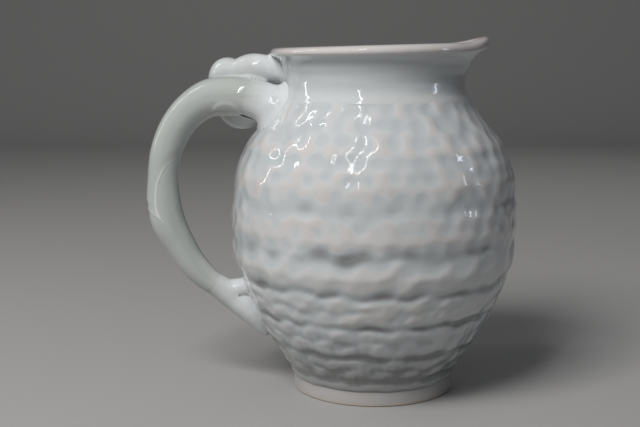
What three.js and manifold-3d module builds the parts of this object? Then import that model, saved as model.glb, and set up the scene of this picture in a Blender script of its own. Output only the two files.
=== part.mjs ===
// A glazed ceramic pitcher: a round ringed belly on a turned foot, a smooth neck with a pulled spout, and a
// branch handle that is knotted where it meets the shoulder. The clay pieces are luted together before glazing
// and firing, so nothing moves. Millimetres, +Z up, +X from the handle towards the spout. The origin lies on the
// surface that the pitcher stands on, at the middle of its footprint; the pot's own axis stands POT_AXIS_X from it.

import * as THREE from "three";
import { mergeVertices } from "three/addons/utils/BufferGeometryUtils.js";
import Module from "manifold-3d";

const wasm = await Module();
wasm.setup();

// Driving dimensions
const WALL = 5; // thickness of the thrown wall
const LUTING_GAP = 0.3; // left between pieces that are luted together
const FOOT_TOP = 8.7;
const FOOT_RADIUS = 47.6;
const FOOT_INNER_RADIUS = 38;
const FLOOR_THICKNESS = 6;
const BELLY_RADIUS = 84;
const NECK_BASE = 172; // the smooth neck starts here
const NECK_WAIST = 181;
const NECK_WAIST_RADIUS = 52.4;
const RIM_HEIGHT = 199; // lip height on the handle side
const RIM_RADIUS = 60.2;
const RIM_TILT = 3; // the lip climbs this much from the handle to the spout
const SPOUT_RISE = 3.5;
const SPOUT_REACH = 7;
const SPOUT_HALF_ANGLE = THREE.MathUtils.degToRad(40);
const HANDLE_REACH = 133.5; // outermost point of the handle, from the pot's axis
const POT_AXIS_X = (HANDLE_REACH - BELLY_RADIUS) / 2;
const TURNED_SEGMENTS = 48;
const STRAND_SIDES = 16;
const BRANCH_STEPS = 45;
const TENDRIL_STEPS = 27;
const SHEATH_STEPS = 15;
const TERMINAL_STEPS = 18;

// The ringed belly: each ring swells between two of these valleys, and the valleys grow shallower upwards
const RING_VALLEYS = [FOOT_TOP, 16, 32, 51, 69, 91, 117, 140, 155, NECK_BASE];
const VALLEY_DEPTH_LOW = 1.5;
const VALLEY_DEPTH_HIGH = 0.7;
const LEVELS_PER_RING = 4;

// The belly's inside: the levels that its wall is turned at, and its rounded corner, as [inset, rise]
const INSIDE_LEVELS = [NECK_BASE, 165, 155, 146, 136, 122, 106, 90, 74, 60, 46, 34, 25, 19];
const CORNER_LEVEL = 16;
const FLOOR_CORNER = [
  [4, 1],
  [9, 0],
];
const FLOOR_DISH = 0.4; // each face of the floor is hollowed by this much at its middle

// Radius of the belly over the ring crests, at each height, as [height, radius]
const BELLY_OUTLINE = [
  [FOOT_TOP, 48],
  [14, 50.6],
  [21, 55.2],
  [30.5, 61.5],
  [41, 67.5],
  [52, 72.8],
  [63, 77.3],
  [74, 81.2],
  [84, 83.3],
  [95, BELLY_RADIUS],
  [106, 83.8],
  [118, 82.9],
  [129, 80.7],
  [138, 77.4],
  [146, 72.9],
  [154.5, 66.8],
  [161, 61.5],
  [168, 57],
  [NECK_BASE, 54.6],
];

// The handle's strands, as stops of [x, y, z, radius] about the pot's axis
const BRANCH = [
  [-56, -10, 167.5, 10],
  [-68, -8, 170.3, 10.8],
  [-82, -5.5, 171.6, 11.1],
  [-95, -3, 169.8, 10.6],
  [-106.1, -1, 163.8, 10.2],
  [-115.5, 0, 152.5, 9.8],
  [-121, 0, 138.5, 9],
  [-123, 0, 122.4, 8.3],
  [-122.3, 0, 110, 8.9],
  [-120.3, 0, 99, 9.4],
  [-113.7, 0, 84, 8.9],
  [-104.1, 0, 69.1, 8.2],
  [-93.6, 0, 59.2, 7],
  [-85.5, 0, 56.6, 6.5],
  [-77, 0, 57, 6.3],
  [-70, 0, 59, 6],
];
const SHEATH = [
  [-111.9, 0, 157.8, 10],
  [-116.8, 0, 150, 10.3],
  [-121.9, 0, 138.6, 9.7],
  [-123.6, 0, 124, 9.4],
  [-123.7, 0, 112, 9.8],
  [-122, 0, 99, 9.9],
];
const TENDRIL = [
  [-54, 1.5, 187, 6.6],
  [-62, 2.5, 187.2, 7.7],
  [-71, 4, 187, 8.6],
  [-80, 6.5, 185.3, 7.8],
  [-86.4, 9.8, 184.4, 8.7],
  [-89, 14.2, 175.5, 8.2],
  [-85.5, 13, 166, 8.2],
  [-79, 7.5, 160.6, 8.5],
  [-70.5, 3.5, 161.6, 8],
  [-59, 1.5, 164.5, 7],
];
const LOWER_TERMINAL = [
  [-95, 0, 59.2, 5.8],
  [-87.2, 0, 54.6, 6.4],
  [-81, 0, 50.6, 7.4],
  [-74.7, 0, 46.6, 8.2],
  [-69.3, 0, 41.7, 7.4],
  [-66, 0, 36.1, 5.2],
  [-64.2, 0, 31.6, 2.6],
];
const COLLAR_CENTRE = [-57.5, -11, 167.6];
const COLLAR_RADII = [10.8, 12.5, 11.6];

// Outline of the sheath on the handle's side view, as [x, z]: its near edge, then the slanting cut below it
const SHEATH_EDGE = [
  [-113, 150],
  [-114.5, 139],
  [-119, 131.8],
  [-123.3, 125.4],
  [-125.8, 118.3],
  [-126.2, 110],
  [-125.2, 101.6],
  [-133.3, 105.9],
  [-142, 110.5],
  [-142, 150],
];

const GLAZE = { color: 0xb9ccca, roughness: 0.16, metalness: 0 };
const HANDLE_GLAZE = { color: 0xb4c9c4, roughness: 0.14, metalness: 0 };
const THIN_GLAZE = { color: 0xd8d6d3, roughness: 0.2, metalness: 0 };

// A closed geometry as a solid that can be joined and cut
function solid(geometry) {
  const bare = geometry.clone();
  bare.deleteAttribute("normal");
  bare.deleteAttribute("uv");
  const merged = mergeVertices(bare, 1e-4);
  return new wasm.Manifold(
    new wasm.Mesh({
      numProp: 3,
      vertProperties: merged.getAttribute("position").array,
      triVerts: new Uint32Array(merged.index.array),
    }),
  );
}

function mesh(name, body, finish) {
  const { vertProperties, triVerts, numProp } = body.getMesh();
  const geometry = new THREE.BufferGeometry();
  const position = new Float32Array(triVerts.length * 3);
  triVerts.forEach((vertex, i) => {
    for (let axis = 0; axis < 3; axis += 1) {
      position[3 * i + axis] = vertProperties[vertex * numProp + axis];
    }
  });
  geometry.setAttribute("position", new THREE.BufferAttribute(position, 3));
  geometry.computeVertexNormals();
  const piece = new THREE.Mesh(geometry, new THREE.MeshStandardMaterial(finish));
  piece.name = name;
  return piece;
}

// A profile of [radius, height] points, up the outside and down the inside, turned about the pot's axis
function turned(profile) {
  const points = profile.map(([radius, height]) => new THREE.Vector2(radius, height));
  return new THREE.LatheGeometry(points, TURNED_SEGMENTS).rotateX(Math.PI / 2);
}

// Radius of the belly's smooth outline at a height
function outlineRadius(height) {
  const last = BELLY_OUTLINE.length - 1;
  const above = BELLY_OUTLINE.findIndex(([level]) => level >= height);
  const i = THREE.MathUtils.clamp(above, 1, last);
  const [low, lowRadius] = BELLY_OUTLINE[i - 1];
  const [high, highRadius] = BELLY_OUTLINE[i];
  const [, beforeRadius] = BELLY_OUTLINE[Math.max(i - 2, 0)];
  const [, afterRadius] = BELLY_OUTLINE[Math.min(i + 1, last)];
  const t = (height - low) / (high - low);
  const lowSlope = (highRadius - beforeRadius) / 2;
  const highSlope = (afterRadius - lowRadius) / 2;
  return (
    lowRadius * (2 * t ** 3 - 3 * t ** 2 + 1) +
    lowSlope * (t ** 3 - 2 * t ** 2 + t) +
    highRadius * (3 * t ** 2 - 2 * t ** 3) +
    highSlope * (t ** 3 - t ** 2)
  );
}

// The belly's outside, as [radius, height] points from the foot to the neck, with its rings
function ringedOutline(grow) {
  const points = [];
  for (let ring = 0; ring < RING_VALLEYS.length - 1; ring += 1) {
    const low = RING_VALLEYS[ring];
    const high = RING_VALLEYS[ring + 1];
    for (let level = 0; level < LEVELS_PER_RING; level += 1) {
      const u = level / LEVELS_PER_RING;
      const height = low + u * (high - low);
      const share = (height - FOOT_TOP) / (NECK_BASE - FOOT_TOP);
      const depth = THREE.MathUtils.lerp(VALLEY_DEPTH_LOW, VALLEY_DEPTH_HIGH, share);
      const valley = 1 - Math.sqrt(Math.sin(Math.PI * u));
      points.push([Math.min(outlineRadius(height), BELLY_RADIUS) - depth * valley + grow, height]);
    }
  }
  points.push([outlineRadius(NECK_BASE) - VALLEY_DEPTH_HIGH + grow, NECK_BASE]);
  return points;
}

function bellyShell() {
  const floor = FOOT_TOP + FLOOR_THICKNESS;
  const corner = outlineRadius(CORNER_LEVEL) - WALL;
  const inside = INSIDE_LEVELS.map((height) => [outlineRadius(height) - WALL, height]);
  inside.push(...FLOOR_CORNER.map(([inset, rise]) => [corner - inset, floor + rise]));
  const profile = [[0, FOOT_TOP + FLOOR_DISH], ...ringedOutline(0), ...inside, [0, floor - FLOOR_DISH]];
  return solid(turned(profile));
}

// The belly's outside as a filled form, swollen by the luting gap, for cutting what is luted onto it
function bellyCutter() {
  return solid(turned([[0, FOOT_TOP], ...ringedOutline(LUTING_GAP), [0, NECK_BASE]]));
}

const NECK_OUTSIDE = [
  [53.7, NECK_BASE + LUTING_GAP],
  [53, 175.5],
  [NECK_WAIST_RADIUS, NECK_WAIST],
  [52.8, 186],
  [53.7, 190],
  [55.6, 192.6],
  [58.2, 194.3],
  [RIM_RADIUS, 195.7],
  [RIM_RADIUS, 196.9],
  [RIM_RADIUS - 1.2, 198.1],
  [RIM_RADIUS - 3, 198.8],
  [RIM_RADIUS - 4.8, RIM_HEIGHT],
];
const NECK_INSIDE = [
  [RIM_RADIUS - 6.2, 198.2],
  [52.4, 196],
  [50.8, 192.8],
  [49, 188],
  [47.8, NECK_WAIST],
  [48, 176],
  [48.9, NECK_BASE + LUTING_GAP],
];

// Lifts the lip towards the spout side and pulls a small beak out of it
function pullSpout(geometry) {
  const position = geometry.getAttribute("position");
  for (let i = 0; i < position.count; i += 1) {
    const radius = Math.hypot(position.getX(i), position.getY(i));
    const azimuth = Math.atan2(position.getY(i), position.getX(i));
    const height = position.getZ(i);
    const up = THREE.MathUtils.clamp((height - NECK_WAIST) / (RIM_HEIGHT - NECK_WAIST), 0, 1) ** 1.7;
    const within = Math.min(Math.abs(azimuth) / SPOUT_HALF_ANGLE, 1);
    const beak = Math.cos((within * Math.PI) / 2) ** 2;
    const pulled = radius + SPOUT_REACH * up * beak ** 1.4;
    const tilt = (RIM_TILT * (1 + Math.cos(azimuth))) / 2;
    position.setXYZ(
      i,
      pulled * Math.cos(azimuth),
      pulled * Math.sin(azimuth),
      height + up * (tilt + SPOUT_RISE * beak),
    );
  }
  return geometry;
}

function neckCollar() {
  const closed = [...NECK_OUTSIDE, ...NECK_INSIDE, NECK_OUTSIDE[0]];
  return solid(pullSpout(turned(closed)));
}

// The neck as a filled form, swollen by the luting gap
function neckCutter() {
  const swollen = NECK_OUTSIDE.map(([radius, height]) => [radius + LUTING_GAP, height]);
  const profile = [[0, NECK_BASE - 1], [swollen[0][0], NECK_BASE - 1], ...swollen, [0, RIM_HEIGHT]];
  return solid(pullSpout(turned(profile)));
}

function footRing() {
  const top = FOOT_TOP - LUTING_GAP;
  const profile = [
    [FOOT_INNER_RADIUS, 1.2],
    [FOOT_INNER_RADIUS + 1.2, 0],
    [FOOT_RADIUS - 1.2, 0],
    [FOOT_RADIUS, 1.2],
    [FOOT_RADIUS - 0.2, 4],
    [FOOT_RADIUS - 0.8, top],
    [FOOT_INNER_RADIUS - 1, top],
    [FOOT_INNER_RADIUS, 5],
    [FOOT_INNER_RADIUS, 1.2],
  ];
  return solid(turned(profile));
}

// A closed limb of round section along a smooth path through the stops, swollen by grow
function limb(stops, steps, sides, grow = 0) {
  const path = new THREE.CatmullRomCurve3(stops.map(([x, y, z]) => new THREE.Vector3(x, y, z)));
  const girth = new THREE.SplineCurve(stops.map(([, , , radius], i) => new THREE.Vector2(i, radius)));
  const rings = [];
  let normal = new THREE.Vector3(0, 1, 0);
  for (let i = 0; i <= steps; i += 1) {
    const tangent = path.getTangent(i / steps);
    normal = normal.clone().addScaledVector(tangent, -normal.dot(tangent)).normalize();
    rings.push({
      centre: path.getPoint(i / steps),
      normal,
      side: new THREE.Vector3().crossVectors(tangent, normal),
      radius: girth.getPoint(i / steps).y + grow,
    });
  }
  const geometry = new THREE.CylinderGeometry(1, 1, 1, sides, steps);
  const position = geometry.getAttribute("position");
  for (let i = 0; i < position.count; i += 1) {
    const ring = rings[Math.round((0.5 - position.getY(i)) * steps)];
    const point = ring.centre.clone();
    point.addScaledVector(ring.normal, position.getX(i) * ring.radius);
    point.addScaledVector(ring.side, position.getZ(i) * ring.radius);
    position.setXYZ(i, point.x, point.y, point.z);
  }
  return solid(geometry);
}

function collar(grow) {
  const radii = COLLAR_RADII.map((radius) => radius + grow);
  const geometry = new THREE.SphereGeometry(1, 20, 14).scale(...radii).translate(...COLLAR_CENTRE);
  return solid(geometry);
}

// The part of the sleeve round the branch that the sheath keeps
function sheathBlank() {
  const outline = new THREE.Shape(SHEATH_EDGE.map(([x, z]) => new THREE.Vector2(x, z)));
  const depth = 40;
  const blank = new THREE.ExtrudeGeometry(outline, { depth, bevelEnabled: false });
  return solid(blank.translate(0, 0, -depth / 2).rotateX(Math.PI / 2));
}

const belly = bellyCutter();
const neck = neckCutter();
const swollenBranch = limb(BRANCH, BRANCH_STEPS, STRAND_SIDES, LUTING_GAP);
const upperCollar = collar(0).subtract(belly).subtract(neck);
const branch = limb(BRANCH, BRANCH_STEPS, STRAND_SIDES)
  .subtract(collar(LUTING_GAP))
  .subtract(belly)
  .subtract(neck);
const lowerTerminal = limb(LOWER_TERMINAL, TERMINAL_STEPS, STRAND_SIDES)
  .subtract(swollenBranch)
  .subtract(belly);
const tendril = limb(TENDRIL, TENDRIL_STEPS, STRAND_SIDES)
  .subtract(swollenBranch)
  .subtract(collar(LUTING_GAP))
  .subtract(belly)
  .subtract(neck);
const sheath = limb(SHEATH, SHEATH_STEPS, STRAND_SIDES).intersect(sheathBlank()).subtract(swollenBranch);

const pot = new THREE.Group();
pot.position.x = POT_AXIS_X;
pot.add(
  mesh("belly_shell", bellyShell(), GLAZE),
  mesh("neck_collar", neckCollar(), GLAZE),
  mesh("foot_ring", footRing(), THIN_GLAZE),
  mesh("handle_branch", branch, HANDLE_GLAZE),
  mesh("handle_sheath", sheath, HANDLE_GLAZE),
  mesh("knot_tendril", tendril, HANDLE_GLAZE),
  mesh("handle_upper_collar", upperCollar, HANDLE_GLAZE),
  mesh("handle_lower_terminal", lowerTerminal, HANDLE_GLAZE),
);

const pitcher = new THREE.Group();
pitcher.add(pot);

export default pitcher;
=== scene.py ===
import math

import bpy
import numpy as np
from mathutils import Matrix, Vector


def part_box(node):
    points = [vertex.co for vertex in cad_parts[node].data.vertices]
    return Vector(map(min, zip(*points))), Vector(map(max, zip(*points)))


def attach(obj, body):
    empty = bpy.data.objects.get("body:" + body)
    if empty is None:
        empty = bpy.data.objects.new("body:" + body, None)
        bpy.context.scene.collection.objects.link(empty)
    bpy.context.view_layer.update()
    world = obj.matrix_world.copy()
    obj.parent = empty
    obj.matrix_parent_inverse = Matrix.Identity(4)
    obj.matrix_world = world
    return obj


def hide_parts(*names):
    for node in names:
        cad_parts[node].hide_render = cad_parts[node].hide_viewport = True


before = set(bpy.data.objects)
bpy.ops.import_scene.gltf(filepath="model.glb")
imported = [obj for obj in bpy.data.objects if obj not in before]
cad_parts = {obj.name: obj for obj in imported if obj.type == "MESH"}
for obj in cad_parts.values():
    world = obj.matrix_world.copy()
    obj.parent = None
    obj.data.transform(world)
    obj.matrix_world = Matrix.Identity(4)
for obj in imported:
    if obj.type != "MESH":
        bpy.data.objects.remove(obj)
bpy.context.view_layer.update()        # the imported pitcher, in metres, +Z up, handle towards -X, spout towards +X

MM = 0.001
TAU = 2 * math.pi
SEED = 7

# --------------------------------------------------------------------------------------------------
# Driving places. The pot's own axis is the middle of the foot ring.
# --------------------------------------------------------------------------------------------------
foot_low, foot_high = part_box("foot_ring")
belly_low, belly_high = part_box("belly_shell")

AXIS_X = (foot_low.x + foot_high.x) / 2
FOOT_TOP = belly_low.z
NECK_BASE = belly_high.z
WALL, FLOOR_THICKNESS = 5 * MM, 6 * MM      # both are guesses, since the photo doesn't show them


def millimetres(points):
    """Points given in millimetres, as an array in metres."""
    return np.array(points, float) * MM


# --------------------------------------------------------------------------------------------------
# Number tools
# --------------------------------------------------------------------------------------------------
def smooth_curve(x, xs, ys):
    """A smooth curve through the points (xs, ys), read at x."""
    slopes = np.gradient(ys, xs)
    x = np.clip(x, xs[0], xs[-1])
    i = np.clip(np.searchsorted(xs, x) - 1, 0, len(xs) - 2)
    width = xs[i + 1] - xs[i]
    t = (x - xs[i]) / width
    return (
        ys[i] * (2 * t**3 - 3 * t**2 + 1)
        + slopes[i] * width * (t**3 - 2 * t**2 + t)
        + ys[i + 1] * (3 * t**2 - 2 * t**3)
        + slopes[i + 1] * width * (t**3 - t**2)
    )


def smoothstep(low, high, x):
    """0 at low and 1 at high, with a smooth rise between them. Low may be the greater of the two."""
    t = np.clip((x - low) / (high - low), 0, 1)
    return t * t * (3 - 2 * t)


def waves(azimuth, counts, rng):
    """A line that wanders round the pot: whole numbers of waves with random phases, about -1 to 1."""
    total = np.zeros_like(azimuth)
    for count in counts:
        total += rng.uniform(0.5, 1) * np.sin(count * azimuth + rng.uniform(0, TAU))
    return total / math.sqrt(len(counts))


def soft_least(a, b, blend):
    """The lesser of two distances, rounded off where they are within blend of each other."""
    near = np.clip(1 - np.abs(a - b) / blend, 0, None)
    return np.minimum(a, b) - near * near * blend / 4


def blurred(grid, rows, columns):
    """A grid averaged over a few rows and columns; columns run right round."""
    for _ in range(2):
        padded = np.pad(grid, ((rows, rows), (0, 0)), mode="edge")
        grid = sum(padded[i : i + len(grid)] for i in range(2 * rows + 1)) / (2 * rows + 1)
        grid = sum(np.roll(grid, i, 1) for i in range(-columns, columns + 1)) / (2 * columns + 1)
    return grid


# --------------------------------------------------------------------------------------------------
# The belly's surface: an outline over the ring crests, rings with wandering valleys, and pressed dimples
# --------------------------------------------------------------------------------------------------
OUTLINE = millimetres([           # (height, radius)
    (8.7, 48), (14, 50.8), (21, 55.4), (30.5, 61.7), (41, 67.6), (52, 72.9), (63, 77.4), (74, 81.2),
    (84, 83.3), (95, 83.8), (106, 83.6), (118, 82.9), (129, 80.9), (138, 77.8), (146, 73.4),
    (154.5, 67.2), (161, 61.9), (168, 57.2), (172, 54.7),
])
# The valleys between the rings: their heights, how deep each is below the crests and how far it wanders
VALLEYS = millimetres([8.7, 16, 23, 32, 41.5, 51, 60, 69, 91, 117, 140, 155, 172])
VALLEY_DEPTH = millimetres([0.9, 1.6, 1.1, 2.2, 1.1, 2.3, 1.1, 2.1, 1.9, 1.3, 0.9, 0.5, 0])
VALLEY_WANDER = millimetres([0, 0.8, 1.5, 1.2, 1.8, 1.3, 2.0, 1.7, 2.0, 1.6, 1.2, 1.0, 0])
SCALLOP_WIDTH = 21 * MM   # a valley is scalloped in arcs about this wide
RING_FULLEST = 0.3        # a ring stands proudest this share of its height above its lower valley
# Below this height each coil is pressed by a thumb. Above it the dimples cover the wall evenly.
COIL_TOP = 91 * MM
PRESS_WIDTH, PRESS_HEIGHT = 16 * MM, 10.5 * MM
DIMPLE_WIDTH, DIMPLE_HEIGHT = 11.8 * MM, 9.4 * MM
LUMP_DEPTH, UNEVEN_DEPTH = 0.4 * MM, 0.25 * MM
CALM_BY_HANDLE = 0.55     # share by which the dimples are shallower beside the handle's upper end


def outline_radius(height):
    """Radius of the pot over the crests, at each height."""
    return smooth_curve(height, OUTLINE[:, 0], OUTLINE[:, 1])


def valley_lines(azimuth):
    """Height of each valley at each azimuth."""
    rng = np.random.default_rng(SEED)
    lines = []
    for height, wander in zip(VALLEYS, VALLEY_WANDER):
        arcs = round(TAU * outline_radius(height) / SCALLOP_WIDTH)
        bend = waves(azimuth, (3, 7, 11, 19), rng)
        phase = rng.uniform(0, TAU) + 1.6 * np.sin(2 * azimuth + rng.uniform(0, TAU))
        scallops = 2 * np.abs(np.sin((arcs * azimuth + phase) / 2)) - 1.2
        lines.append(height + wander * (0.6 * bend + 0.6 * scallops))
    return lines


def ring_depth(height, azimuth):
    """Depth below the crest outline from the rings alone. A ring is fullest low down, and undercut below."""
    rng = np.random.default_rng(SEED + 1)
    lines = valley_lines(azimuth)
    strength = [np.clip(1 + 0.42 * waves(azimuth, (3, 7, 12, 20), rng), 0.15, 1.7) for _ in lines]
    depth = np.zeros_like(height)
    for k, (low, high) in enumerate(zip(lines[:-1], lines[1:])):
        u = (height - low) / (high - low)
        undercut = np.clip(1 - u / RING_FULLEST, 0, 1) ** 1.8
        slope = np.clip((u - RING_FULLEST) / (1 - RING_FULLEST), 0, 1) ** 2.6
        below = undercut * VALLEY_DEPTH[k] * strength[k]
        above = slope * VALLEY_DEPTH[k + 1] * strength[k + 1]
        inside = (u >= 0) & (u < 1)
        depth = np.where(inside, below + above, depth)
    return depth


def dimple_row(height, width, tall, around, stagger, depth, rng):
    """One row of pressed dimples: azimuth, height, width, height across and depth of each."""
    n = np.arange(around)
    azimuth = TAU * (n + 0.5 * stagger + rng.uniform(-0.2, 0.2, around)) / around
    middle = height + rng.uniform(-0.16, 0.16, around) * tall
    widths, heights = width * rng.uniform(0.88, 1.12, around), tall * rng.uniform(0.9, 1.14, around)
    return np.stack([azimuth, middle, widths, heights, depth * rng.uniform(0.55, 1.3, around)], 1)


def dimple_centres():
    """Rows of pressed dimples, each staggered by half a dimple from the row below it."""
    rng = np.random.default_rng(SEED + 2)
    rows = []
    coils = VALLEYS[VALLEYS <= COIL_TOP]
    for low, high in zip(coils[:-1], coils[1:]):
        count = max(1, round((high - low) / PRESS_HEIGHT))
        middles = [low + (i + 0.45) * (high - low) / count for i in range(count)]
        rows += [(middle, (high - low) / count, PRESS_WIDTH) for middle in middles]
    count = round((NECK_BASE - COIL_TOP) / DIMPLE_HEIGHT)
    rise = (NECK_BASE - COIL_TOP) / count
    rows += [(COIL_TOP + (i + 0.5) * rise, rise, DIMPLE_WIDTH) for i in range(count)]
    dimples = []
    for stagger, (height, tall, width) in enumerate(rows):
        around = 4 * round(TAU * outline_radius(height) / width / 4)
        depth = (0.65 + 0.5 * smoothstep(75 * MM, 105 * MM, height)) * MM
        dimples.append(dimple_row(height, width, tall, around, stagger % 2, depth, rng))
    return np.concatenate(dimples)


def dimple_depth(height, azimuth):
    """Depth of the pressed dimples: bowls that meet in soft ridges."""
    centres = dimple_centres()
    radius = outline_radius(height)
    depth = np.zeros_like(height)
    band_height, reach, sharpness, ridge_at = 8 * MM, 26 * MM, 16, 0.27
    bands = np.floor(height / band_height).astype(int)
    for band in np.unique(bands):
        here = bands == band
        near = centres[np.abs(centres[:, 1] - (band + 0.5) * band_height) < reach]
        turn = (azimuth[here][:, None] - near[:, 0] + math.pi) % TAU - math.pi
        up = (height[here][:, None] - near[:, 1]) / near[:, 3]
        slant = 0.35 * smoothstep(COIL_TOP + 6 * MM, COIL_TOP - 10 * MM, height[here][:, None])
        along = turn * radius[here][:, None] / near[:, 2] - slant * up
        away = along**2 + up**2
        weight = np.exp(-sharpness * away)
        total = weight.sum(1) + 1e-12
        ridge = np.clip(-np.log(total) / sharpness, 0, None) / ridge_at
        bowl = 1 - np.clip(ridge, 0, 1.1) ** 1.5
        depth[here] = (weight * near[:, 4]).sum(1) / total * bowl
    return depth


def lumpiness(height, azimuth, rng):
    """Small soft lumps all over, about -1 to 1."""
    total = np.zeros_like(height)
    for _ in range(9):
        around, rise = rng.integers(14, 44), rng.uniform(9, 24) * MM
        across = np.sin(around * azimuth + rng.uniform(0, TAU))
        upward = np.sin(TAU * height / rise + rng.uniform(0, TAU))
        total += across * upward
    return total / 2.2


def belly_depth(height, azimuth):
    """Depth of the finished surface below the crest outline."""
    rng = np.random.default_rng(SEED + 3)
    fade = smoothstep(NECK_BASE + MM, NECK_BASE - 7 * MM, height) * smoothstep(9 * MM, 15 * MM, height)
    low = smoothstep(COIL_TOP + 10 * MM, 45 * MM, height)
    lumps = LUMP_DEPTH * low * fade * np.abs(lumpiness(height, azimuth, rng))
    uneven = UNEVEN_DEPTH * fade * np.abs(waves(azimuth, (2, 5, 9), rng))
    by_handle = smoothstep(0.7, 0.95, -np.cos(azimuth)) * smoothstep(100 * MM, 122 * MM, height)
    dimples = (1 - CALM_BY_HANDLE * by_handle) * fade * dimple_depth(height, azimuth)
    return ring_depth(height, azimuth) + dimples + uneven + lumps


class Belly:
    """The belly's outside as a grid of radii, and its distance from any point."""

    AROUND, LEVELS = 480, 180

    def __init__(self):
        # The levels are at equal steps along the outline rather than in height.
        reading = np.linspace(FOOT_TOP, NECK_BASE, 600)
        steps = np.hypot(np.diff(reading), np.diff(outline_radius(reading)))
        length = np.concatenate([[0], np.cumsum(steps)])
        self.heights = np.interp(np.linspace(0, length[-1], self.LEVELS), length, reading)
        self.azimuth = np.arange(self.AROUND) * TAU / self.AROUND
        height, azimuth = np.meshgrid(self.heights, self.azimuth, indexing="ij")
        depth = belly_depth(height.ravel(), azimuth.ravel()).reshape(height.shape)
        high = smoothstep(82 * MM, 108 * MM, height)
        tucked = 0.3 * MM * smoothstep(NECK_BASE - 3 * MM, NECK_BASE, height)
        # The upper wall is softer than the coils below, and its last few millimetres draw in under the neck.
        self.depth = blurred(depth, 1, 1) * (1 - high) + blurred(depth, 2, 2) * high
        self.radius = outline_radius(height) - self.depth - tucked

    def distance(self, points):
        """Distance of each point outside the belly, and negative inside. The belly ends flat at the neck."""
        x, y, z = points[:, 0] - AXIS_X, points[:, 1], points[:, 2]
        row = np.interp(z, self.heights, np.arange(self.LEVELS))
        column = np.arctan2(y, x) % TAU / TAU * self.AROUND
        r0, c0 = row.astype(int), column.astype(int) % self.AROUND
        r1, c1 = np.minimum(r0 + 1, self.LEVELS - 1), (c0 + 1) % self.AROUND
        fr, fc = row - r0, column % self.AROUND - c0
        grid = self.radius
        radius = (
            (grid[r0, c0] * (1 - fc) + grid[r0, c1] * fc) * (1 - fr)
            + (grid[r1, c0] * (1 - fc) + grid[r1, c1] * fc) * fr
        )
        slope = (outline_radius(z + MM) - outline_radius(z - MM)) / (2 * MM)
        return np.maximum((np.hypot(x, y) - radius) / np.sqrt(1 + slope**2), z - NECK_BASE)


# --------------------------------------------------------------------------------------------------
# The neck: a smooth turned collar whose lip climbs to the spout side and is pulled out into a beak
# --------------------------------------------------------------------------------------------------
NECK_WAIST, RIM_HEIGHT = 181 * MM, 199 * MM
RIM_TILT, SPOUT_RISE, SPOUT_REACH = 3 * MM, 3.4 * MM, 7 * MM
SPOUT_HALF_ANGLE = math.radians(40)
THROWING_DEPTH, THROWING_RISE = 0.12 * MM, 6.5 * MM     # the faint rings left by throwing, and their spacing
NECK_PROFILE = millimetres([      # (radius, height), up the outside, over the lip and down the inside
    (54.6, 168.1), (55.95, 168.6), (55.7, 169.9), (55.1, 171.2), (54.1, 173.1), (53, 176.6), (52.4, 181),
    (52.6, 184.5), (53.3, 187.4), (54, 189.8), (55.2, 191.8), (57.3, 193.5), (59.3, 194.6), (60.15, 195.7),
    (60, 196.9), (59.1, 198), (57.5, 198.75), (55.6, 199.0), (53.9, 198.3), (52.3, 196.2), (50.8, 193),
    (49.2, 188.6), (48.1, 184), (47.7, 180), (47.9, 176), (48.7, 171.6), (50.4, 169.5),
])
NECK_OUTSIDE = slice(3, 18)       # the points of the profile from clear of the belly to the top of the lip


def spout_pull(radius, height, azimuth):
    """Where a point of the turned collar goes once the lip is tilted and the spout is pulled."""
    up = np.clip((height - NECK_WAIST) / (RIM_HEIGHT - NECK_WAIST), 0, 1.05) ** 1.5
    turn = (azimuth + math.pi) % TAU - math.pi
    beak = np.cos(np.clip(np.abs(turn) / SPOUT_HALF_ANGLE, 0, 1) * math.pi / 2) ** 2
    tilt = RIM_TILT * (1 + np.cos(turn)) / 2
    return radius + SPOUT_REACH * up * beak**1.3, height + up**1.2 * (tilt + SPOUT_RISE * beak**1.5)


def closed_curve(points, count):
    """A smooth closed curve through the points, at count equal steps along it."""
    wrapped = np.concatenate([points[-3:], points, points[:4]])
    length = np.concatenate([[0], np.cumsum(np.linalg.norm(np.diff(wrapped, axis=0), axis=1))])
    start, end = length[3], length[3 + len(points)]
    at = np.linspace(start, end, count, endpoint=False)
    return np.stack([smooth_curve(at, length, wrapped[:, i]) for i in range(points.shape[1])], 1)


# --------------------------------------------------------------------------------------------------
# Strands: limbs of round section that melt into what they are luted to
# --------------------------------------------------------------------------------------------------
CAP_ANGLES = np.radians([80, 66, 50, 34, 17])       # the rays that round off a free end
FAN_ANGLES = np.radians(np.arange(89, 0, -2.0))      # the rays that spread over the pot at a joined end
POT_CLEARANCE = 8 * MM    # the fan starts where the path comes this near the pot
SET_IN = 0.6 * MM         # how far a melted surface runs on inside what it melts into
FIRST_LENGTH = 0.6        # share of the strand's radius at which a ray starts to look for the surface
RAY_REACH = 5 * MM        # how far past the strand's radius a ray may go
FAN_REACH = 14 * MM       # how far past that radius and the blend it may go near the pot
MARCH_STEPS, SHORTEST_RAY, NEAR_ENOUGH = 45, 0.1 * MM, 0.01 * MM
AT_ONCE = 8000            # points whose distances are worked out together, to save memory


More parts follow.
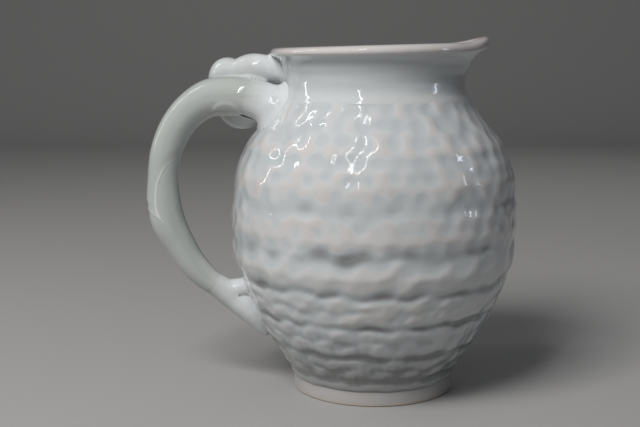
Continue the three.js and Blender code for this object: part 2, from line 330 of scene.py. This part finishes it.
class Strand:
    """A limb of round section along a smooth path through stops of (x, y, z, radius)."""

    def __init__(self, stops, rings):
        stops = millimetres(stops)
        stops[:, 0] += AXIS_X
        chords = np.linalg.norm(np.diff(stops[:, :3], axis=0), axis=1)
        length = np.concatenate([[0], np.cumsum(chords)])
        at = np.linspace(0, length[-1], rings)
        self.centre = np.stack([smooth_curve(at, length, stops[:, i]) for i in range(3)], 1)
        self.radius = smooth_curve(at, length, stops[:, 3])
        tangent = np.gradient(self.centre, axis=0)
        self.tangent = tangent / np.linalg.norm(tangent, axis=1)[:, None]
        self.normal = np.zeros_like(self.centre)
        across = np.array([0.0, -1.0, 0.0])
        for i, ahead in enumerate(self.tangent):
            across = across - ahead * across.dot(ahead)
            across /= np.linalg.norm(across)
            self.normal[i] = across
        self.side = np.cross(self.tangent, self.normal)

    def distance(self, points):
        """Distance of each point outside the strand, and negative inside."""
        start, span = self.centre[:-1:2], np.diff(self.centre[::2], axis=0)
        start = start[: len(span)]
        radius, growth = self.radius[::2][: len(span)], np.diff(self.radius[::2])
        nearest = np.empty(len(points))
        for i in range(0, len(points), AT_ONCE):
            away = points[i : i + AT_ONCE, None] - start
            t = np.clip((away * span).sum(2) / (span**2).sum(1), 0, 1)
            gap = np.linalg.norm(away - t[..., None] * span, axis=2) - (radius + t * growth)
            nearest[i : i + AT_ONCE] = gap.min(1)
        return nearest

    def rays(self, sides, clearance=0):
        """Rays from the path to the surface, ring by ring, with a cap at a free end and a fan at the pot."""
        angle = np.arange(sides) * TAU / sides
        cosine, sine = np.cos(angle)[None, :, None], np.sin(angle)[None, :, None]
        round_about = cosine * self.normal[:, None] + sine * self.side[:, None]
        clear = np.flatnonzero(pot_distance(self.centre) > clearance)
        i, j = clear[0], clear[-1]
        first_angles = FAN_ANGLES if i > 0 else CAP_ANGLES
        last_angles = FAN_ANGLES if j < len(self.centre) - 1 else CAP_ANGLES
        first = [np.cos(a) * self.tangent[i] * -1 + np.sin(a) * round_about[i] for a in first_angles[::-1]]
        last = [np.cos(a) * self.tangent[j] + np.sin(a) * round_about[j] for a in last_angles]
        direction = np.concatenate([first, round_about[i : j + 1], last])
        ring = np.clip(np.arange(len(direction)) - len(first) + i, i, j)
        start = np.repeat(self.centre[ring][:, None], sides, 1)
        radius = np.repeat(self.radius[ring][:, None], sides, 1)
        return start.reshape(-1, 3), direction.reshape(-1, 3), radius.ravel()


def march(start, direction, length, field, most):
    """Length of each ray to where the field, negative at its start, first comes to nothing."""
    length = length.copy()
    moving = np.arange(len(length))
    for _ in range(MARCH_STEPS):
        value = field(start[moving] + direction[moving] * length[moving, None], moving)
        length[moving] = np.clip(length[moving] - value, SHORTEST_RAY, most[moving])
        within_limits = (length[moving] < most[moving]) & (length[moving] > SHORTEST_RAY)
        moving = moving[(np.abs(value) > NEAR_ENOUGH) & within_limits]
        if not len(moving):
            break
    return length


def joined(own, other, blend):
    """Two distances run together in a fillet, sunk a little where the surface is only the other's."""
    return soft_least(own, other, blend) + SET_IN * smoothstep(0.5, 1, (own - other) / blend)


def melt(strand, start, direction, radius, pot_blend, neighbours=()):
    """Length of each ray to the strand's surface, melted into the pot and into its neighbours.

    Neighbours are pairs of a distance function and a blend, which is a length or a function of the points.
    A ray ends just inside the pot, and just inside a neighbour unless it starts within it.
    """
    within = [distance(start) < 0 for distance, _ in neighbours]

    def field(points, rays):
        gap = pot_distance(points)
        value = np.maximum(joined(strand.distance(points), gap, pot_blend), -gap - SET_IN)
        for (distance, blend), started_within in zip(neighbours, within):
            gap = distance(points)
            value = joined(value, gap, blend(points) if callable(blend) else blend)
            value = np.where(started_within[rays], value, np.maximum(value, -gap - SET_IN))
        return value

    by_pot = pot_distance(start) < POT_CLEARANCE + MM
    most = radius + np.where(by_pot, pot_blend + FAN_REACH, RAY_REACH)
    return march(start, direction, FIRST_LENGTH * radius, field, most)


def reach_surface(start, direction, length, distance):
    """Length of each ray to another form's surface, found from a length near it."""
    for _ in range(6):
        length = length - distance(start + direction * length[:, None])
    return length


def polygon_depth(points, polygon):
    """How far inside a closed outline each (x, z) point lies, and negative outside."""
    a, b = polygon, np.roll(polygon, -1, axis=0)
    span = b - a
    away = points[:, None] - a
    t = np.clip((away * span).sum(2) / (span**2).sum(1), 0, 1)
    gap = np.linalg.norm(away - t[..., None] * span, axis=2).min(1)
    crosses = (a[:, 1] > points[:, None, 1]) != (b[:, 1] > points[:, None, 1])
    with np.errstate(divide="ignore", invalid="ignore"):
        at = a[:, 0] + (points[:, None, 1] - a[:, 1]) * span[:, 0] / span[:, 1]
    inside = (crosses & (points[:, None, 0] < at)).sum(1) % 2 == 1
    return np.where(inside, gap, -gap)


# --------------------------------------------------------------------------------------------------
# Meshes
# --------------------------------------------------------------------------------------------------
FOLD_ANGLE = math.radians(75)     # a sharper edge than this is a fold, and is not shaded smooth


def add_piece(name, vertices, faces, pool_and_shade, thin):
    """A closed mesh with two shares at each point: of the dark pooled colour, for pooled glaze and painted shade,
    and of the pale thin colour, for thin glaze and, on the handle, painted light and highlight.
    """
    mesh = bpy.data.meshes.new(name)
    mesh.from_pydata(vertices.tolist(), [], faces)
    for key, values in (("pool_and_shade", pool_and_shade), ("thin", thin)):
        layer = mesh.attributes.new(key, "FLOAT", "POINT")
        layer.data.foreach_set("value", np.asarray(values, np.float32).ravel())
    mesh.shade_smooth()
    mesh.set_sharp_from_angle(angle=FOLD_ANGLE)
    piece = bpy.data.objects.new(name, mesh)
    bpy.context.scene.collection.objects.link(piece)
    return piece


def grid_faces(rows, around, closed):
    """Quads between rows of points that run right round; closed joins the last row to the first."""
    faces = []
    for r in range(rows if closed else rows - 1):
        low, high = r * around, (r + 1) % rows * around
        for c in range(around):
            d = (c + 1) % around
            faces.append((low + c, low + d, high + d, high + c))
    return faces


def gridded_piece(name, grid, pool_and_shade, thin, closed=False):
    """A piece from a grid of points, rows by around. An open one has each end drawn to a middle point."""
    rows, around = grid.shape[:2]
    vertices = grid.reshape(-1, 3)
    faces = grid_faces(rows, around, closed)
    pool_and_shade, thin = pool_and_shade.ravel(), thin.ravel()
    if not closed:
        first, last = len(vertices), len(vertices) + 1
        vertices = np.concatenate([vertices, [grid[0].mean(0)], [grid[-1].mean(0)]])
        top = (rows - 1) * around
        faces += [((c + 1) % around, c, first) for c in range(around)]
        faces += [(top + c, top + (c + 1) % around, last) for c in range(around)]
        pool_and_shade, thin = np.append(pool_and_shade, [0, 0]), np.append(thin, [0, 0])
    return add_piece(name, vertices, faces, pool_and_shade, thin)


def turned_grid(radius, height):
    """Points about the pot's axis from rows of radii and heights, one for each azimuth."""
    azimuth = np.arange(radius.shape[1]) * TAU / radius.shape[1]
    return np.stack([AXIS_X + radius * np.cos(azimuth), radius * np.sin(azimuth), height], 2)


# --------------------------------------------------------------------------------------------------
# The pieces
# --------------------------------------------------------------------------------------------------
# Stops of (x from the pot's axis, y, z, radius) along each strand, in millimetres
BRANCH = [
    (-57, -10, 167, 8.4), (-68, -8, 170.2, 9.3), (-82, -5.5, 171.9, 10), (-95, -3, 170.4, 9.9),
    (-106.1, -1, 163.8, 9.4), (-115.4, 0, 152.6, 9.1), (-121.1, 0, 138.5, 8.85), (-122.9, 0, 122.4, 8.7),
    (-122.7, 0, 110, 9.5), (-121.4, 0, 100.4, 10), (-113.7, 0, 84, 8.8), (-103.9, 0, 69.3, 7.9),
    (-92.8, 0, 60, 6.8), (-85.5, 0, 57.2, 6.3), (-79, 0, 57.5, 6.4), (-73.5, 0, 58.6, 5.8),
]
SHEATH = [
    (-57, -10, 167, 9.4), (-68, -8, 170.2, 10.6), (-82, -5.5, 171.9, 11.2), (-95, -3, 170.4, 10.9),
    (-106.1, -1, 163.8, 10.1), (-115.4, 0, 152.6, 9.6), (-121.1, 0, 138.6, 9.3), (-123.1, 0, 122.4, 9.3),
    (-123.1, 0, 110, 9.95), (-121, 0, 99.2, 10.1),
]
SHEATH_EDGE = millimetres([       # (x, z) of the outline that the sheath keeps to, seen from the side
    (-96, 142), (-106, 139), (-112, 136.5), (-116, 134), (-119, 131.6), (-121.6, 128.4), (-123.5, 124.8),
    (-124.9, 121), (-125.9, 116.5), (-126.3, 111), (-125.7, 105.5), (-123.4, 100.4), (-118.5, 96),
    (-126.3, 101.4), (-133.3, 105.9), (-142, 110.5), (-142, 190), (-50, 190), (-50, 142),
])
# The tip of the tendril shows as a low round pad under the branch.
CURL_CENTRE = millimetres([-85, 160.5])
CURL_RADIUS, CURL_RISE = 8.4 * MM, 0.6 * MM
SLEEVE_LIP = 0.3 * MM     # how far the sheath's cut edge stands up
TENDRIL = [
    (-55, 1.5, 186, 7.2), (-62, 2.5, 186.8, 8), (-71, 4, 187.1, 8.6), (-80.2, 6.5, 185, 7.6),
    (-86.4, 9.8, 184.5, 8.8), (-89, 14.2, 175.5, 8.2), (-85.5, 13, 166, 8.2), (-79, 7.5, 160.6, 8.5),
    (-70.5, 3.5, 161.6, 8), (-60, 1.5, 164.5, 7),
]
LOWER_TERMINAL = [
    (-104, 0, 69.4, 3), (-97.5, 0, 63.3, 4.6), (-92, 0, 58.5, 5.7), (-87.2, 0, 54.6, 6.6),
    (-81, 0, 50.6, 7.3), (-74.7, 0, 46.6, 8.1), (-69.3, 0, 41.7, 7.5), (-66, 0, 36.1, 5.3),
    (-63.9, 0, 31.9, 3.2),
]
COLLAR = [
    (-71.5, -7.4, 170.8, 10.9), (-67, -8.5, 169.6, 11.2), (-62, -10, 167.8, 11.6), (-58, -11.5, 165.8, 12),
]

belly = Belly()
branch = Strand(BRANCH, rings=300)
sheath = Strand(SHEATH, rings=300)
tendril = Strand(TENDRIL, rings=200)
lower_terminal = Strand(LOWER_TERMINAL, rings=110)
collar = Strand(COLLAR, rings=60)


def neck_distance(points):
    """Distance of each point outside the turned neck, without its spout, and negative inside."""
    section = np.concatenate([[(0, NECK_BASE)], NECK_PROFILE[NECK_OUTSIDE], [(0, RIM_HEIGHT)]])
    across = np.hypot(points[:, 0] - AXIS_X, points[:, 1])
    return -polygon_depth(np.stack([across, points[:, 2]], 1), section)


def pot_distance(points):
    """Distance of each point outside the belly and the neck together, and negative inside."""
    return np.minimum(belly.distance(points), neck_distance(points))


def near_pot(points):
    """How pale a strand is made: palest where it meets the pot, and less along it. This is partly glaze run thin
    and partly painted light on the strand ends by the pot.
    """
    return 0.95 * smoothstep(24 * MM, 5 * MM, pot_distance(points))


def crease_pool(points):
    """How far the glaze pools where strands meet one another: most where the fillet is thickest."""
    forms = [pot_distance] + [s.distance for s in (sheath, branch, tendril, lower_terminal, collar)]
    fillet = np.minimum.reduce([distance(points) for distance in forms])
    return 0.6 * smoothstep(0.5 * MM, 2.2 * MM, fillet) * smoothstep(0.5 * MM, 2 * MM, pot_distance(points))


def make_belly():
    """The belly's wall: a flat underside, the relief outside and a smooth hollow with a flat floor inside."""
    around = belly.AROUND
    flat = np.ones(around)
    floor, corner = FOOT_TOP + FLOOR_THICKNESS, outline_radius(16 * MM) - WALL
    under = [(18 * MM, FOOT_TOP), (36 * MM, FOOT_TOP), (46 * MM, FOOT_TOP)]
    top = belly.radius[-1].mean()
    inside = [(top - 0.35 * MM, NECK_BASE + 0.2 * MM), (top - 1.1 * MM, NECK_BASE + 0.3 * MM)]
    inside += [(outline_radius(h) - WALL, h) for h in np.linspace(NECK_BASE, 19 * MM, 16)]
    inside += [(corner - 2.2 * MM, floor + 1.9 * MM), (corner - 5 * MM, floor + 0.6 * MM)]
    inside += [(corner - 10 * MM, floor), (corner * 0.4, floor)]
    radius = np.array([r * flat for r, _ in under] + list(belly.radius) + [r * flat for r, _ in inside])
    levels = [h for _, h in under] + list(belly.heights) + [h for _, h in inside]
    height = np.array([h * flat for h in levels])
    pool_and_shade, thin = np.zeros_like(radius), np.zeros_like(radius)
    outside = slice(len(under), len(under) + len(belly.heights))
    # How far the surface stands above what is close round it, and above what is further up and down
    local = blurred(belly.depth, 7, 7) - belly.depth
    broad = blurred(belly.depth, 16, 6) - blurred(belly.depth, 1, 3)
    hollow = smoothstep(-0.3 * MM, 0.25 * MM, -local)
    # Darker in the valleys, most among the coils: partly pooled glaze, partly painted shade under each ring.
    valley = smoothstep(0.1 * MM, 1.3 * MM, -broad)
    coiled = smoothstep(110 * MM, 80 * MM, height[outside])
    # Darker towards the foot: painted shade, partly glaze run thick low down.
    run = smoothstep(62 * MM, 12 * MM, height[outside])
    pool_and_shade[outside] = np.clip(0.3 * hollow + (0.36 + 0.5 * coiled) * valley + 0.75 * run, 0, 1)
    thin[outside] = 0.7 * smoothstep(0.1 * MM, 0.4 * MM, local) * (1 - valley) * (1 - 0.6 * coiled)
    return gridded_piece("belly", turned_grid(radius, height), pool_and_shade, thin)


def make_neck():
    """The turned collar with its rolled lip and its pulled spout. Its glaze runs thin over the lip."""
    around, steps = 320, 110
    profile = closed_curve(NECK_PROFILE, steps)
    azimuth = np.arange(around) * TAU / around
    radius, height = np.repeat(profile[:, :1], around, 1), np.repeat(profile[:, 1:], around, 1)
    thin = smoothstep(RIM_HEIGHT - 5.5 * MM, RIM_HEIGHT - 3 * MM, height)
    # Darker and bluer over the neck between its base and the pale lip.
    pool_and_shade = 0.3 * smoothstep(NECK_BASE, NECK_BASE + 6 * MM, height) * (1 - thin)
    radius, height = spout_pull(radius, height, azimuth)
    rng = np.random.default_rng(SEED + 9)
    rings = np.sin(TAU * height / THROWING_RISE)
    throwing = THROWING_DEPTH * waves(azimuth + 60 * height, (1, 2, 4), rng) * rings
    return gridded_piece("neck_and_spout", turned_grid(radius + throwing, height), pool_and_shade, thin, closed=True)


FOOT_PROFILE = millimetres([      # (radius, height)
    (38.4, 9.9), (38, 5), (38.1, 1.6), (38.9, 0.3), (40.2, 0), (43.5, 0), (45.9, 0), (47, 0.35),
    (47.5, 1.3), (47.5, 3), (47.3, 5.2), (47.05, 7), (46.9, 8.4), (46.6, 9.3), (45.6, 9.9), (42.5, 9.9),
])
FOOT_WOBBLE, FOOT_OUTSIDE = 0.12 * MM, 44 * MM


def make_foot():
    """The low turned band that the pot stands on, a little out of round outside."""
    around, steps = 288, 72
    profile = closed_curve(FOOT_PROFILE, steps)
    profile[:, 1] = np.maximum(profile[:, 1], 0)
    azimuth = np.arange(around) * TAU / around
    wobble = FOOT_WOBBLE * waves(azimuth, (2, 3, 7), np.random.default_rng(SEED + 4))
    radius = np.repeat(profile[:, :1], around, 1) - np.abs(wobble) * (profile[:, :1] > FOOT_OUTSIDE)
    height = np.repeat(profile[:, 1:], around, 1)
    # Darker at the top, where the foot meets the belly, and paler below.
    pool_and_shade = 0.5 * smoothstep(7.3 * MM, 9.3 * MM, height)
    thin = 1 - pool_and_shade
    return gridded_piece("foot", turned_grid(radius, height), pool_and_shade, thin, closed=True)


def ray_piece(name, start, direction, length, sides, thin=0, relief=0):
    """A piece from rays and their lengths. Relief is what of each length is modelling, and is left out when the
    dark pooled colour is worked out.
    """
    vertices = start + direction * length[:, None]
    pool_and_shade = crease_pool(vertices - direction * np.reshape(relief, (-1, 1)))
    thin = np.maximum(near_pot(vertices), thin)
    return gridded_piece(name, vertices.reshape(-1, sides, 3), pool_and_shade, thin)


def make_strand(name, strand, sides, pot_blend, neighbours=(), clearance=POT_CLEARANCE, thin=0):
    """A strand's piece: rays from its path, each as long as the melted surface is far."""
    start, direction, radius = strand.rays(sides, clearance)
    length = melt(strand, start, direction, radius, pot_blend, neighbours)
    return ray_piece(name, start, direction, length, sides, thin)


def curl_relief(side_view, across):
    """How far the pad of the tendril's tip stands up, on the near side of the handle only."""
    near = smoothstep(-3 * MM, -7 * MM, across)
    from_curl = np.linalg.norm(side_view - CURL_CENTRE, axis=1)
    near *= smoothstep(-CURL_RADIUS, 0, (side_view - CURL_CENTRE) @ [0.6, 0.8])
    return CURL_RISE * near * smoothstep(CURL_RADIUS + 0.9 * MM, CURL_RADIUS - 1.4 * MM, from_curl)


def make_sheath():
    """The sleeve over the branch. Outside its slanting edge it is sunk into the branch."""
    sides = 128
    start, direction, plain = sheath.rays(sides, POT_CLEARANCE)
    surface = start + direction * plain[:, None]
    side_view = surface[:, [0, 2]] - [AXIS_X, 0]
    curl = curl_relief(side_view, surface[:, 1])
    inner = reach_surface(start, direction, plain, branch.distance)
    from_edge = polygon_depth(side_view, SHEATH_EDGE)
    kept = smoothstep(-0.5 * MM, 0.35 * MM, from_edge)
    full = smoothstep(0, 7 * MM, from_edge)
    low = smoothstep(137 * MM, 122 * MM, surface[:, 2])
    lip = SLEEVE_LIP * low * np.exp(-(((from_edge - 0.9 * MM) / (1.1 * MM)) ** 2))
    edge_radius = inner + 0.1 * MM * low
    radius = edge_radius + np.clip(plain + curl - edge_radius, 0, None) * full + lip
    radius = radius * kept + (inner - SET_IN) * (1 - kept)
    length = melt(sheath, start, direction, plain, 3 * MM) + radius - plain
    # A pale line along the lower part of the cut edge: a painted highlight, partly glaze run thin over the edge.
    painted_highlight_reach = smoothstep(139 * MM, 128 * MM, surface[:, 2])
    edge = painted_highlight_reach * np.exp(-(((from_edge - 0.3 * MM) / (0.9 * MM)) ** 2))
    return ray_piece("handle_sheath_sleeve", start, direction, length, sides, edge, curl + lip)


def terminal_blend(points):
    """The terminal flows out of the branch, and parts from it in a crease near the pot."""
    along = points[:, 0] - AXIS_X
    return (0.8 + 3 * smoothstep(-76 * MM, -85 * MM, along) * smoothstep(-102 * MM, -84 * MM, along)) * MM


def make_branch():
    return make_strand("branch", branch, sides=120, pot_blend=2.5 * MM)


def make_tendril():
    neighbours = [(sheath.distance, 2.2 * MM), (collar.distance, 4.5 * MM)]
    return make_strand("tendril", tendril, 120, 3 * MM, neighbours, thin=0.55)      # pale all along


def make_collar():
    return make_strand("upper_collar", collar, sides=140, pot_blend=7 * MM)


def make_terminal():
    neighbours = [(branch.distance, terminal_blend)]
    return make_strand("lower_terminal", lower_terminal, 120, 1.6 * MM, neighbours, clearance=0)


PIECES = {
    "belly_shell": ("celadon_glaze", make_belly),
    "neck_collar": ("celadon_glaze", make_neck),
    "foot_ring": ("foot_glaze", make_foot),
    "handle_branch": ("handle_glaze", make_branch),
    "handle_sheath": ("handle_glaze", make_sheath),
    "knot_tendril": ("handle_glaze", make_tendril),
    "handle_upper_collar": ("handle_glaze", make_collar),
    "handle_lower_terminal": ("handle_glaze", make_terminal),
}


# --------------------------------------------------------------------------------------------------
# Glazes
# --------------------------------------------------------------------------------------------------
def glaze(name, body, hollow, deep_pool_and_shade, thin, bare=None):
    """Glossy celadon in five colours: the body's, in hollows, the darkest one for deep pooled glaze and painted
    shade, the pale one for thin glaze and on the handle painted light and highlight, and of the bare clay at the
    foot's edge, if there is any."""
    material = bpy.data.materials.new(name)
    material.use_nodes = True
    nodes, links = material.node_tree.nodes, material.node_tree.links
    shader = nodes["Principled BSDF"]
    shader.inputs["IOR"].default_value = 1.52
    shader.inputs["Coat Weight"].default_value = 0.8
    shader.inputs["Coat Roughness"].default_value = 0.03

    def new(kind, **settings):
        node = nodes.new(kind)
        for key, value in settings.items():
            setattr(node, key, value)
        return node

    def noise(scale, detail):
        node = new("ShaderNodeTexNoise")
        links.new(place.outputs["Object"], node.inputs["Vector"])
        node.inputs["Scale"].default_value = scale
        node.inputs["Detail"].default_value = detail
        return node.outputs["Fac"]

    def mapped(value, low, high, to_low, to_high):
        node = new("ShaderNodeMapRange", interpolation_type="SMOOTHSTEP")
        links.new(value, node.inputs["Value"])
        for key, number in zip(("From Min", "From Max", "To Min", "To Max"), (low, high, to_low, to_high)):
            node.inputs[key].default_value = number
        return node.outputs["Result"]

    def ramp(value, stops):
        node = new("ShaderNodeValToRGB")
        links.new(value, node.inputs["Fac"])
        points = node.color_ramp.elements
        while len(points) < len(stops):
            points.new(1)
        for point, (position, colour) in zip(points, stops):
            point.position, point.color = position, (*colour, 1)
        return node.outputs["Color"]

    def product(a, b):
        node = new("ShaderNodeMath", operation="MULTIPLY")
        links.new(a, node.inputs[0])
        links.new(b, node.inputs[1])
        return node.outputs[0]

    def mixed(factor, a, b):
        node = new("ShaderNodeMix", data_type="RGBA")
        links.new(factor, node.inputs["Factor"])
        for socket, colour in ((node.inputs[6], a), (node.inputs[7], b)):
            if isinstance(colour, tuple):
                socket.default_value = (*colour, 1)
            else:
                links.new(colour, socket)
        return node.outputs[2]

    place = new("ShaderNodeTexCoord")
    pool_and_shade = new("ShaderNodeAttribute", attribute_name="pool_and_shade").outputs["Fac"]
    thin_and_painted_light = new("ShaderNodeAttribute", attribute_name="thin").outputs["Fac"]
    drift = mapped(noise(16, 3), 0.35, 0.65, 0.0, 1.0)
    mottle = mapped(noise(160, 4), 0.35, 0.7, 0.82, 1.0)
    warm = tuple(c * w for c, w in zip(body, (1.035, 1.005, 0.985)))
    colour = mixed(drift, body, warm)
    # The dark ramp holds pooled glaze and painted shade.
    pooled_and_shaded = ramp(pool_and_shade, ((0, body), (0.4, hollow), (1, deep_pool_and_shade)))
    colour = mixed(mapped(pool_and_shade, 0.0, 0.25, 0.0, 1.0), colour, pooled_and_shaded)
    # The pale colour is thin glaze, and on the handle also painted light and a painted highlight.
    colour = mixed(product(thin_and_painted_light, mottle), colour, thin)
    if bare:
        height = new("ShaderNodeSeparateXYZ")
        links.new(place.outputs["Object"], height.inputs[0])
        clay = mapped(height.outputs["Z"], 1.0 * MM, 1.9 * MM, 1.0, 0.0)
        colour = mixed(clay, colour, bare)
        roughness = mapped(clay, 0, 1, 0.14, 0.75)
    else:
        roughness = mapped(noise(45, 3), 0.3, 0.7, 0.08, 0.16)
    links.new(roughness, shader.inputs["Roughness"])
    links.new(colour, shader.inputs["Base Color"])
    bump = new("ShaderNodeBump")
    bump.inputs["Strength"].default_value = 0.5
    bump.inputs["Distance"].default_value = 0.45 * MM
    links.new(noise(150, 2), bump.inputs["Height"])
    links.new(bump.outputs["Normal"], shader.inputs["Normal"])
    return material


def celadon_glaze():
    return glaze(
        "celadon_glaze",
        body=(0.535, 0.558, 0.565),
        hollow=(0.47, 0.5, 0.512),
        # The near-black deepest colour is mostly painted shade in the valleys and low on the belly, partly deep
        # pooled glaze.
        deep_pool_and_shade=(0.2, 0.207, 0.205),
        thin=(0.56, 0.525, 0.51),
    )


def handle_glaze():
    return glaze(
        "handle_glaze",
        body=(0.405, 0.44, 0.423),
        hollow=(0.36, 0.41, 0.385),
        deep_pool_and_shade=(0.27, 0.335, 0.31),
        # The pale colour is glaze run thin, and also painted light near the pot and a painted highlight on the
        # sheath's edge.
        thin=(0.645, 0.665, 0.675),
    )


def foot_glaze():
    return glaze(
        "foot_glaze",
        # The foot's glaze colours are set well darker than the celadon above: painted shade for the low foot. The
        # bare clay is its own colour.
        body=(0.36, 0.36, 0.355),
        hollow=(0.31, 0.325, 0.325),
        deep_pool_and_shade=(0.23, 0.24, 0.24),
        thin=(0.39, 0.375, 0.365),
        bare=(0.62, 0.53, 0.45),
    )


GLAZES = {"celadon_glaze": celadon_glaze(), "handle_glaze": handle_glaze(), "foot_glaze": foot_glaze()}

for node, (slot, make) in PIECES.items():
    piece = make()
    piece.data.materials.append(GLAZES[slot])
    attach(piece, "root")
    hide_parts(node)


# --------------------------------------------------------------------------------------------------
# Floor, light and camera
# --------------------------------------------------------------------------------------------------
CAMERA_DISTANCE, CAMERA_HEIGHT, CAMERA_ASIDE = 639.7 * MM, 200 * MM, 31.4 * MM
CAMERA_PITCH = math.radians(8.66)


def make_floor():
    """A plain pale sweep: a wide floor that curves up behind."""
    back, rise, bend = 1.6, 2.2, 0.6
    section = [(-2.5, 0.0), (back, 0.0)]
    for i in range(1, 13):
        a = i / 12 * math.pi / 2
        section.append((back + bend * math.sin(a), bend * (1 - math.cos(a))))
    section.append((back + bend, rise))
    vertices = [(x, y, z) for y, z in section for x in (-3.5, 3.5)]
    faces = [(2 * i, 2 * i + 1, 2 * i + 3, 2 * i + 2) for i in range(len(section) - 1)]
    mesh = bpy.data.meshes.new("floor")
    mesh.from_pydata(vertices, [], faces)
    mesh.shade_smooth()
    floor = bpy.data.objects.new("floor", mesh)
    bpy.context.scene.collection.objects.link(floor)
    material = bpy.data.materials.new("floor_paper")
    material.use_nodes = True
    shader = material.node_tree.nodes["Principled BSDF"]
    shader.inputs["Base Color"].default_value = (0.38, 0.375, 0.368, 1)
    shader.inputs["Roughness"].default_value = 0.6
    mesh.materials.append(material)


def aim(thing, target):
    thing.rotation_euler = (Vector(target) - thing.location).to_track_quat("-Z", "Y").to_euler()


def add_light(name, place, target, size, power, colour, glossy=True):
    """An oblong soft light. One that is not glossy lights the glaze but isn't mirrored in it."""
    data = bpy.data.lights.new(name, "AREA")
    data.shape = "RECTANGLE"
    data.size, data.size_y = size
    data.energy = power
    data.color = colour
    light = bpy.data.objects.new(name, data)
    light.location = place
    light.visible_glossy = glossy
    aim(light, target)
    bpy.context.scene.collection.objects.link(light)


def add_world():
    """A faint even light, so that no shadow is black."""
    world = bpy.data.worlds.new("room")
    world.use_nodes = True
    world.node_tree.nodes["Background"].inputs["Color"].default_value = (0.9, 0.94, 1, 1)
    world.node_tree.nodes["Background"].inputs["Strength"].default_value = 0.07
    bpy.context.scene.world = world


def add_camera():
    """The photograph's viewpoint: level with the rim and looking a little down."""
    data = bpy.data.cameras.new("camera")
    data.sensor_width, data.lens = 36, 61.875
    camera = bpy.data.objects.new("camera", data)
    camera.location = (AXIS_X - CAMERA_ASIDE, -CAMERA_DISTANCE, CAMERA_HEIGHT)
    camera.rotation_euler = (math.pi / 2 - CAMERA_PITCH, 0, 0)
    bpy.context.scene.collection.objects.link(camera)
    bpy.context.scene.camera = camera


make_floor()
middle = (AXIS_X, 0, 0.11)
add_light("window", (-0.64, -0.91, 1.26), middle, (0.7, 0.7), 25, (1, 0.99, 0.985), glossy=False)
add_light("left_strip", (-0.86, 0.1, 0.62), middle, (0.014, 0.9), 0.9, (1, 1, 1))
add_light("front_strip", (-0.27, -0.73, 0.89), middle, (0.01, 0.8), 0.8, (1, 1, 1))
add_light("far_window", (0.9, -0.2, 0.4), middle, (0.05, 0.3), 0.3, (0.78, 0.86, 1))
add_light("back", (0.5, 1.0, 0.9), middle, (0.8, 0.8), 1.5, (1, 1, 1), glossy=False)

add_world()
add_camera()
bpy.context.scene.view_settings.view_transform = "Standard"

bpy.context.view_layer.update()
